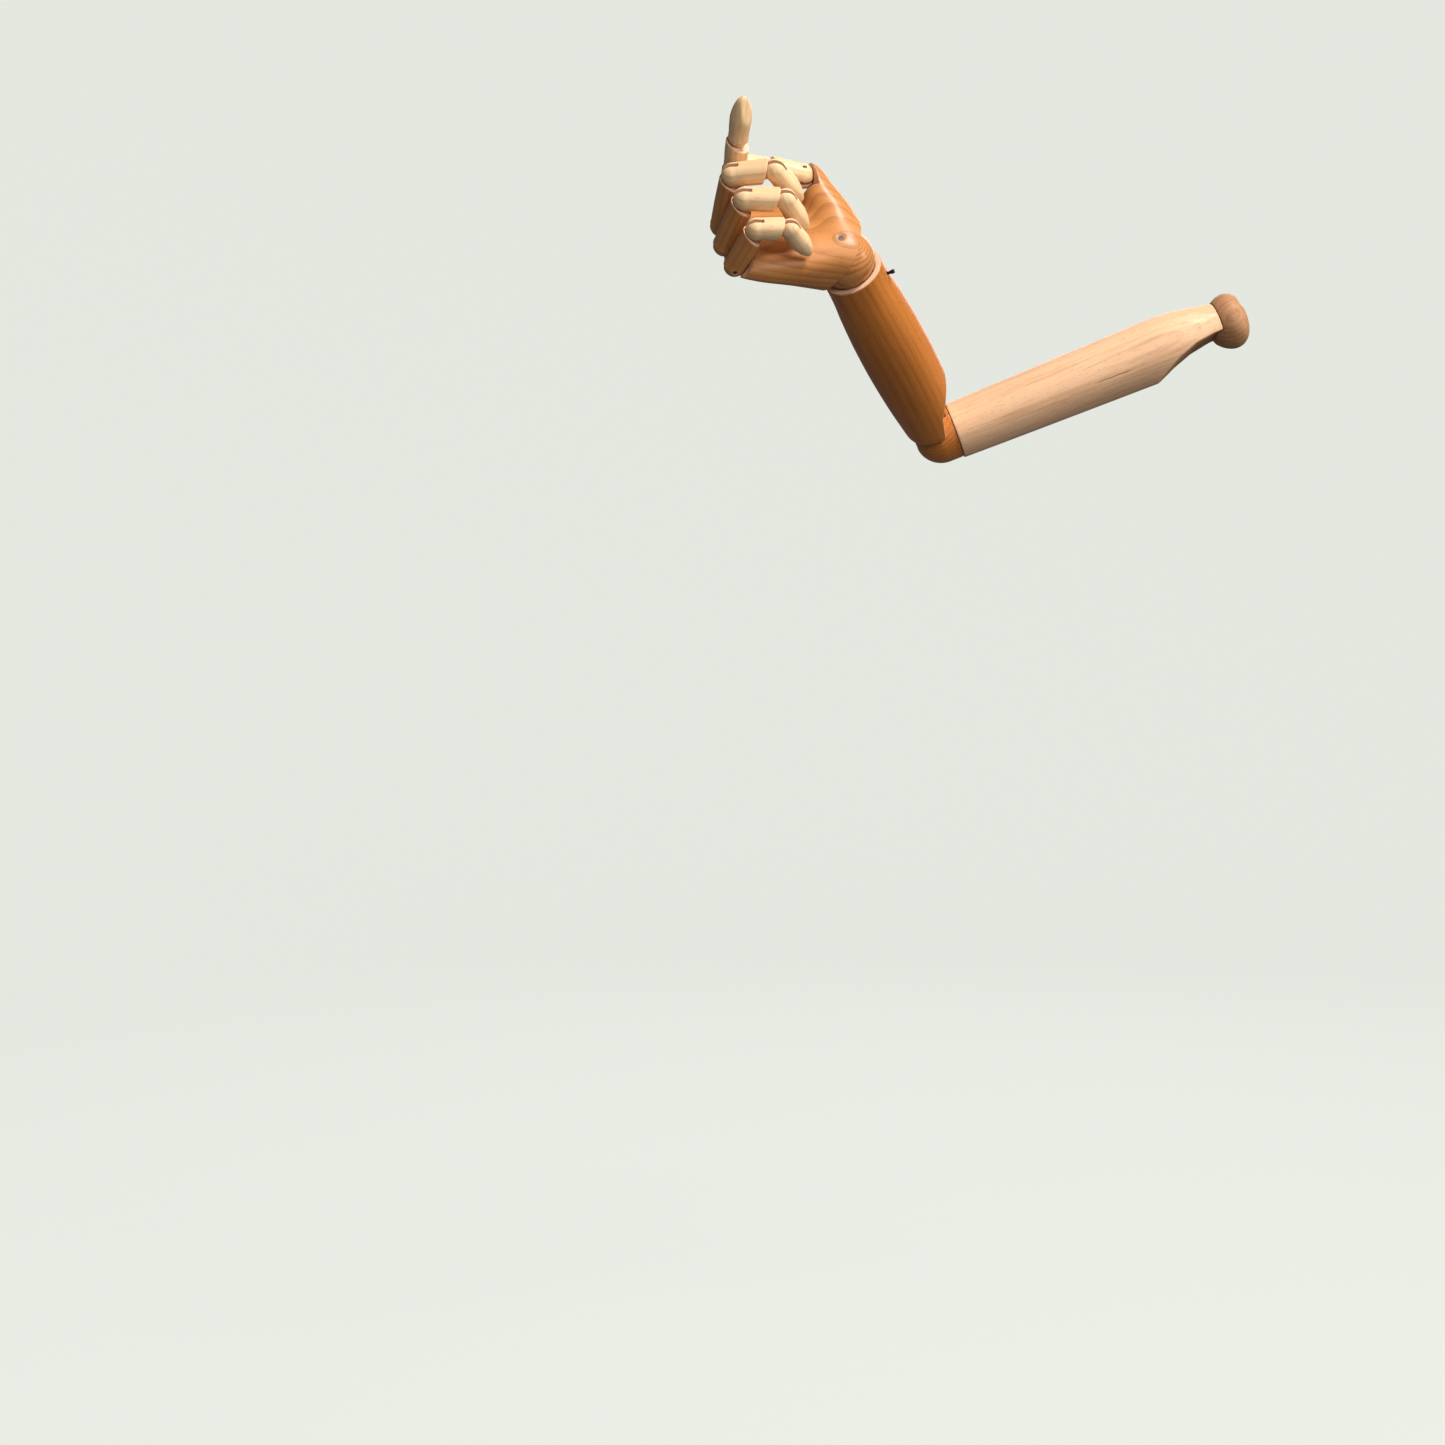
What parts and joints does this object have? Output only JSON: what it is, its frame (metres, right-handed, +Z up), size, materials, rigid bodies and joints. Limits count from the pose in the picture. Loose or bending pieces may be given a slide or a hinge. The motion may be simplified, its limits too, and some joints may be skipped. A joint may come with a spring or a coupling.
{
  "type": "articulated mannequin arm",
  "caption": "Jointed wooden mannequin arm with an articulated right hand, bent at the elbow and wrist, index finger raised, with a slotted shoulder knob.",
  "frame": {"origin": "centre of the shoulder knob, where the arm meets the body it hangs from", "axes": "+Z up, +X from the elbow towards the shoulder, -Y towards the side the fingers curl on"},
  "size_m": [0.405, 0.2368, 0.2025],
  "materials": {
    "varnished_wood": "clear amber varnish over beech, satin gloss, visible grain and end-grain rings on the balls",
    "pale_wood": "thin varnish over paler beech, satin",
    "arm_wood": "waxed pale beech with straight grain along the arm and a fine drying crack",
    "knob_wood": "browner wood with a worn dull wax finish",
    "tongue_fibre": "reddish brown fibre plate, dull",
    "steel": "darkened steel, a little rust on the exposed ends"
  },
  "bodies": {
    "upper_arm": {"upper_arm": "arm_wood", "shoulder_knob": "knob_wood", "shoulder_dowel": "pale_wood"},
    "elbow": {"elbow_knuckle": "varnished_wood", "elbow_pin": "steel"},
    "forearm": {"forearm": "varnished_wood", "elbow_tongue": "tongue_fibre", "elbow_tongue_pin": "steel", "wrist_set_screw": "steel"},
    "wrist": {"wrist_tongue": "steel"},
    "palm": {"palm": "varnished_wood", "wrist_ball": "varnished_wood", "wrist_pin": "steel", "palm_pin": "steel", "index_base_tongue": "tongue_fibre", "middle_base_tongue": "tongue_fibre", "ring_base_tongue": "tongue_fibre", "little_base_tongue": "tongue_fibre", "thumb_base_tongue": "tongue_fibre"},
    "index_proximal": {"index_proximal": "varnished_wood", "index_proximal_pin": "steel", "index_proximal_tongue": "tongue_fibre"},
    "index_middle": {"index_middle": "pale_wood", "index_middle_pin": "steel", "index_middle_tongue": "tongue_fibre"},
    "index_distal": {"index_distal": "pale_wood", "index_distal_pin": "steel"},
    "middle_proximal": {"middle_proximal": "varnished_wood", "middle_proximal_pin": "steel", "middle_proximal_tongue": "tongue_fibre"},
    "middle_middle": {"middle_middle": "pale_wood", "middle_middle_pin": "steel", "middle_middle_tongue": "tongue_fibre"},
    "middle_distal": {"middle_distal": "pale_wood", "middle_distal_pin": "steel"},
    "ring_proximal": {"ring_proximal": "varnished_wood", "ring_proximal_pin": "steel", "ring_proximal_tongue": "tongue_fibre"},
    "ring_middle": {"ring_middle": "pale_wood", "ring_middle_pin": "steel", "ring_middle_tongue": "tongue_fibre"},
    "ring_distal": {"ring_distal": "pale_wood", "ring_distal_pin": "steel"},
    "little_proximal": {"little_proximal": "varnished_wood", "little_proximal_pin": "steel", "little_proximal_tongue": "tongue_fibre"},
    "little_middle": {"little_middle": "pale_wood", "little_middle_pin": "steel", "little_middle_tongue": "tongue_fibre"},
    "little_distal": {"little_distal": "pale_wood", "little_distal_pin": "steel"},
    "thumb_proximal": {"thumb_proximal": "pale_wood", "thumb_proximal_pin": "steel", "thumb_proximal_tongue": "tongue_fibre"},
    "thumb_distal": {"thumb_distal": "pale_wood", "thumb_distal_pin": "steel"}
  },
  "joints": [
    {"name": "elbow_turn", "type": "hinge", "parent": "upper_arm", "child": "elbow", "pos_m": [-0.21375, 0.03386, -0.08135], "axis": [-0.9245, 0.1464, -0.3518], "range_deg": [-90, 90]},
    {"name": "elbow_bend", "type": "hinge", "parent": "elbow", "child": "forearm", "pos_m": [-0.21375, 0.03386, -0.08135], "axis": [-0.1903, 0.6224, 0.7592], "range_deg": [-83, 5]},
    {"name": "wrist_turn", "type": "hinge", "parent": "forearm", "child": "wrist", "pos_m": [-0.29826, -0.10917, 0.01472], "axis": [-0.4404, -0.7453, 0.5006], "range_deg": [-90, 90]},
    {"name": "wrist_bend", "type": "hinge", "parent": "wrist", "child": "palm", "pos_m": [-0.29826, -0.10917, 0.01472], "axis": [0.0589, 0.5324, 0.8444], "range_deg": [-8, 67]},
    {"name": "index_knuckle", "type": "hinge", "parent": "palm", "child": "index_proximal", "pos_m": [-0.37869, -0.10624, 0.05164], "axis": [0.0759, 0.5348, 0.8416], "range_deg": [-89, 2]},
    {"name": "index_middle_joint", "type": "hinge", "parent": "index_proximal", "child": "index_middle", "pos_m": [-0.37493, -0.13746, 0.07114], "axis": [0.0759, 0.5348, 0.8416], "range_deg": [0, 85]},
    {"name": "index_tip_joint", "type": "hinge", "parent": "index_middle", "child": "index_distal", "pos_m": [-0.3726, -0.15687, 0.08326], "axis": [0.0759, 0.5348, 0.8416], "range_deg": [0, 70]},
    {"name": "middle_knuckle", "type": "hinge", "parent": "palm", "child": "middle_proximal", "pos_m": [-0.38368, -0.11666, 0.03665], "axis": [0.0418, 0.5298, 0.8471], "range_deg": [-93, 4]},
    {"name": "middle_middle_joint", "type": "hinge", "parent": "middle_proximal", "child": "middle_middle", "pos_m": [-0.37636, -0.15274, 0.05886], "axis": [0.0418, 0.5298, 0.8471], "range_deg": [-71, 12]},
    {"name": "middle_tip_joint", "type": "hinge", "parent": "middle_middle", "child": "middle_distal", "pos_m": [-0.34874, -0.15715, 0.06025], "axis": [0.0418, 0.5298, 0.8471], "range_deg": [-62, 15]},
    {"name": "ring_knuckle", "type": "hinge", "parent": "palm", "child": "ring_proximal", "pos_m": [-0.38184, -0.12608, 0.02055], "axis": [0.0077, 0.5242, 0.8516], "range_deg": [-100, 2]},
    {"name": "ring_middle_joint", "type": "hinge", "parent": "ring_proximal", "child": "ring_middle", "pos_m": [-0.36863, -0.15919, 0.04081], "axis": [0.0077, 0.5242, 0.8516], "range_deg": [-72, 2]},
    {"name": "ring_tip_joint", "type": "hinge", "parent": "ring_middle", "child": "ring_distal", "pos_m": [-0.34163, -0.15897, 0.04044], "axis": [0.0077, 0.5242, 0.8516], "range_deg": [-60, 4]},
    {"name": "little_knuckle", "type": "hinge", "parent": "palm", "child": "little_proximal", "pos_m": [-0.37508, -0.13452, 0.00409], "axis": [-0.0436, 0.5146, 0.8563], "range_deg": [-104, 1]},
    {"name": "little_middle_joint", "type": "hinge", "parent": "little_proximal", "child": "little_middle", "pos_m": [-0.36083, -0.16066, 0.02051], "axis": [-0.0436, 0.5146, 0.8563], "range_deg": [-67, 1]},
    {"name": "little_tip_joint", "type": "hinge", "parent": "little_middle", "child": "little_distal", "pos_m": [-0.33886, -0.15957, 0.02098], "axis": [-0.0436, 0.5146, 0.8563], "range_deg": [-56, 1]},
    {"name": "thumb_knuckle", "type": "hinge", "parent": "palm", "child": "thumb_proximal", "pos_m": [-0.32875, -0.11027, 0.07201], "axis": [0.2045, -0.8344, 0.5118], "range_deg": [-40, 3]},
    {"name": "thumb_tip_joint", "type": "hinge", "parent": "thumb_proximal", "child": "thumb_distal", "pos_m": [-0.35513, -0.11412, 0.07628], "axis": [0.2045, -0.8344, 0.5118], "range_deg": [-25, 3]}
  ]
}
